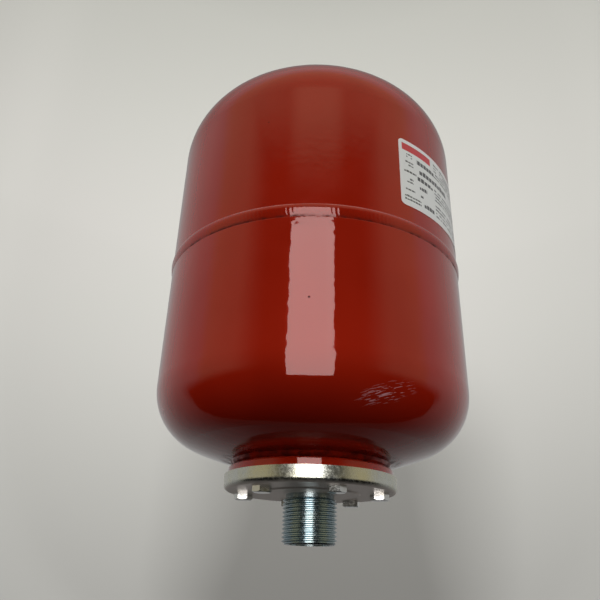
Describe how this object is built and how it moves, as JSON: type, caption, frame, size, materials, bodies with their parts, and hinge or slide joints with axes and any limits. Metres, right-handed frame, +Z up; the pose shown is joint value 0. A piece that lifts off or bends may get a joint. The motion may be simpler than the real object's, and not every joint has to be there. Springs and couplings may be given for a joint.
{
  "type": "expansion vessel",
  "caption": "Upright domed steel expansion vessel with a welded girth seam, a bolted flange and threaded pipe nipple below, and a capped gas valve on top.",
  "frame": {"origin": "centre of the end face of the threaded nipple", "axes": "+Z up along the vessel's axis, from the nipple to the gas valve; -Y towards the side the label starts on"},
  "size_m": [0.2024, 0.2024, 0.354],
  "materials": {
    "red_paint": "gloss",
    "zinc_plate": "polished",
    "rubber": "matte",
    "brass": "satin",
    "spring_steel": "satin",
    "black_plastic": "satin",
    "label_film": "satin"
  },
  "bodies": {
    "vessel": {"upper_shell": "red_paint", "lower_shell": "red_paint", "girth_weld": "red_paint", "counter_flange": "red_paint", "counter_flange_weld": "red_paint", "bladder": "rubber", "flange_plate": "zinc_plate", "connection_nipple": "zinc_plate", "nipple_weld": "zinc_plate", "flange_bolts": "zinc_plate", "rating_label": "label_film", "valve_stem": "brass", "valve_gasket": "rubber", "valve_washer": "zinc_plate", "valve_nut": "brass", "valve_core_body": "brass", "valve_core_seal": "rubber", "valve_core_spring": "spring_steel"},
    "cover": {"valve_cover": "black_plastic"},
    "dust_cap_seal": {"dust_cap_seal": "rubber"},
    "dust_cap": {"dust_cap": "black_plastic"},
    "valve_pin": {"valve_core_pin": "brass", "valve_pin_seal": "rubber"}
  },
  "joints": [
    {"name": "valve_cover_pull", "type": "slide", "parent": "vessel", "child": "cover", "axis": [0, 0, 1], "range_m": [0, 0.04]},
    {"name": "dust_cap_rise", "type": "slide", "parent": "vessel", "child": "dust_cap_seal", "axis": [0, 0, 1], "range_m": [0, 0.00556]},
    {"name": "dust_cap_turn", "type": "hinge", "parent": "dust_cap_seal", "child": "dust_cap", "pos_m": [0, 0, 0.343], "axis": [0, 0, 1], "range_deg": [0, 2520]},
    {"name": "valve_pin_press", "type": "slide", "parent": "vessel", "child": "valve_pin", "axis": [0, 0, -1], "range_m": [0, 0.001], "stiffness_N_per_m": 500, "springref_m": -0.001, "deforming": ["valve_core_spring"]}
  ],
  "couplings": [
    {"joint": "dust_cap_turn", "follows": "dust_cap_rise", "rad_per_m": 7915.8}
  ]
}
